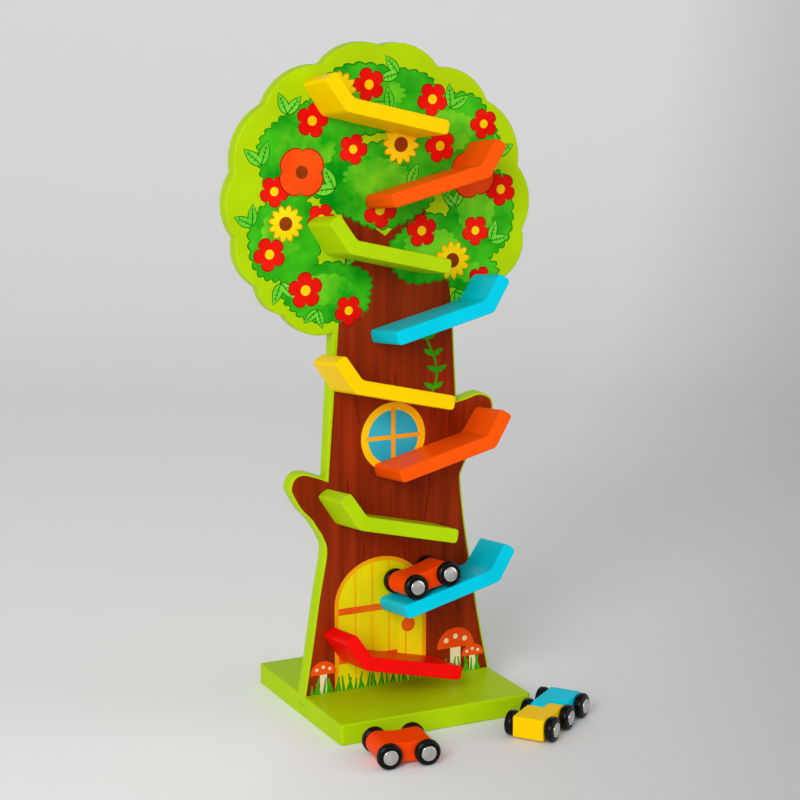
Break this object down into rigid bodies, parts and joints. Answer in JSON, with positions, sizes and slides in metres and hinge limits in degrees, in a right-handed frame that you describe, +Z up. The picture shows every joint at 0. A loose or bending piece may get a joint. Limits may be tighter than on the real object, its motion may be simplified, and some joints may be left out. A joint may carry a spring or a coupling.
{
  "type": "wooden car track",
  "caption": "Free-standing tree-shaped wooden panel in a base board, with bent ramps in a zigzag down its front for small wheeled cars to roll and tumble down; the cars belong to it.",
  "frame": {"origin": "centre of the base board's underside, on the surface that it stands on", "axes": "+Z up, +X along the panel to the right as seen from the front, -Y to the front, where the ramps are"},
  "size_m": [0.2368, 0.2079, 0.4695],
  "materials": {
    "lime_paint": "satin paint on wood",
    "tree_print": "satin paint on wood, printed front",
    "yellow_paint": "semi-gloss paint on wood",
    "orange_paint": "semi-gloss paint on wood",
    "blue_paint": "semi-gloss paint on wood",
    "red_paint": "semi-gloss paint on wood",
    "wheel_black": "glossy moulded plastic",
    "axle_metal": "bright domed caps",
    "screw_steel": "zinc-plated"
  },
  "bodies": {
    "tree": {"tree_panel": "tree_print", "base_board": "lime_paint", "base_screw_left": "screw_steel", "base_screw_right": "screw_steel", "ramp_1": "yellow_paint", "ramp_2": "orange_paint", "ramp_3": "lime_paint", "ramp_4": "blue_paint", "ramp_5": "yellow_paint", "ramp_6": "orange_paint", "ramp_7": "lime_paint", "ramp_8": "blue_paint", "ramp_9": "red_paint", "ramp_1_screw_upper": "screw_steel", "ramp_1_screw_lower": "screw_steel", "ramp_2_screw_upper": "screw_steel", "ramp_2_screw_lower": "screw_steel", "ramp_3_screw_upper": "screw_steel", "ramp_3_screw_lower": "screw_steel", "ramp_4_screw_upper": "screw_steel", "ramp_4_screw_lower": "screw_steel", "ramp_5_screw_upper": "screw_steel", "ramp_5_screw_lower": "screw_steel", "ramp_6_screw_upper": "screw_steel", "ramp_6_screw_lower": "screw_steel", "ramp_7_screw_upper": "screw_steel", "ramp_7_screw_lower": "screw_steel", "ramp_8_screw_upper": "screw_steel", "ramp_8_screw_lower": "screw_steel", "ramp_9_screw_upper": "screw_steel", "ramp_9_screw_lower": "screw_steel"},
    "ramp_car": {"ramp_car_body": "orange_paint"},
    "ramp_car_front_wheels": {"ramp_car_front_axle": "axle_metal", "ramp_car_front_wheel_left": "wheel_black", "ramp_car_front_wheel_right": "wheel_black"},
    "ramp_car_rear_wheels": {"ramp_car_rear_axle": "axle_metal", "ramp_car_rear_wheel_left": "wheel_black", "ramp_car_rear_wheel_right": "wheel_black"},
    "floor_car": {"floor_car_body": "orange_paint"},
    "floor_car_front_wheels": {"floor_car_front_axle": "axle_metal", "floor_car_front_wheel_left": "wheel_black", "floor_car_front_wheel_right": "wheel_black"},
    "floor_car_rear_wheels": {"floor_car_rear_axle": "axle_metal", "floor_car_rear_wheel_left": "wheel_black", "floor_car_rear_wheel_right": "wheel_black"},
    "link_car_front": {"link_car_front_body": "yellow_paint"},
    "link_car_rear": {"link_car_rear_body": "blue_paint"},
    "link_car_front_wheels": {"link_car_front_axle": "axle_metal", "link_car_front_wheel_left": "wheel_black", "link_car_front_wheel_right": "wheel_black"},
    "link_car_middle_wheels": {"link_car_middle_axle": "axle_metal", "link_car_middle_wheel_left": "wheel_black", "link_car_middle_wheel_right": "wheel_black"},
    "link_car_rear_wheels": {"link_car_rear_axle": "axle_metal", "link_car_rear_wheel_left": "wheel_black", "link_car_rear_wheel_right": "wheel_black"}
  },
  "joints": [
    {"name": "ramp_car_run", "type": "slide", "parent": "tree", "child": "ramp_car", "axis": [-0.9724, -0.0284, -0.2317], "range_m": [-0.0275, 0.0095]},
    {"name": "ramp_car_front_roll", "type": "hinge", "parent": "ramp_car", "child": "ramp_car_front_wheels", "pos_m": [-0.0053, -0.03261, 0.09507], "axis": [0, -0.9925, 0.1219], "continuous": true},
    {"name": "ramp_car_rear_roll", "type": "hinge", "parent": "ramp_car", "child": "ramp_car_rear_wheels", "pos_m": [0.02047, -0.03186, 0.10121], "axis": [0, -0.9925, 0.1219], "continuous": true},
    {"name": "floor_car_run", "type": "slide", "parent": "tree", "child": "floor_car", "axis": [0.9903, -0.1392, 0], "range_m": [-0.06, 0.03]},
    {"name": "floor_car_front_roll", "type": "hinge", "parent": "floor_car", "child": "floor_car_front_wheels", "pos_m": [-0.03388, -0.11184, 0.009], "axis": [0.1392, 0.9903, 0], "continuous": true},
    {"name": "floor_car_rear_roll", "type": "hinge", "parent": "floor_car", "child": "floor_car_rear_wheels", "pos_m": [-0.06012, -0.10816, 0.009], "axis": [0.1392, 0.9903, 0], "continuous": true},
    {"name": "link_car_run", "type": "slide", "parent": "tree", "child": "link_car_front", "axis": [0.7986, 0.6018, 0], "range_m": [-0.01, 0.06]},
    {"name": "link_car_bend", "type": "hinge", "parent": "link_car_front", "child": "link_car_rear", "pos_m": [0.0715, -0.1, 0.009], "axis": [0.6018, -0.7986, 0], "range_deg": [0, 45]},
    {"name": "link_car_front_roll", "type": "hinge", "parent": "link_car_front", "child": "link_car_front_wheels", "pos_m": [0.05034, -0.11595, 0.009], "axis": [-0.6018, 0.7986, 0], "continuous": true},
    {"name": "link_car_middle_roll", "type": "hinge", "parent": "link_car_front", "child": "link_car_middle_wheels", "pos_m": [0.0715, -0.1, 0.009], "axis": [-0.6018, 0.7986, 0], "continuous": true},
    {"name": "link_car_rear_roll", "type": "hinge", "parent": "link_car_rear", "child": "link_car_rear_wheels", "pos_m": [0.09266, -0.08405, 0.009], "axis": [-0.6018, 0.7986, 0], "continuous": true}
  ],
  "couplings": [
    {"joint": "ramp_car_front_roll", "follows": "ramp_car_run", "rad_per_m": 111.11},
    {"joint": "ramp_car_rear_roll", "follows": "ramp_car_run", "rad_per_m": 111.11},
    {"joint": "floor_car_front_roll", "follows": "floor_car_run", "rad_per_m": 111.11},
    {"joint": "floor_car_rear_roll", "follows": "floor_car_run", "rad_per_m": 111.11},
    {"joint": "link_car_front_roll", "follows": "link_car_run", "rad_per_m": 111.11},
    {"joint": "link_car_middle_roll", "follows": "link_car_run", "rad_per_m": 111.11},
    {"joint": "link_car_rear_roll", "follows": "link_car_run", "rad_per_m": 111.11}
  ]
}
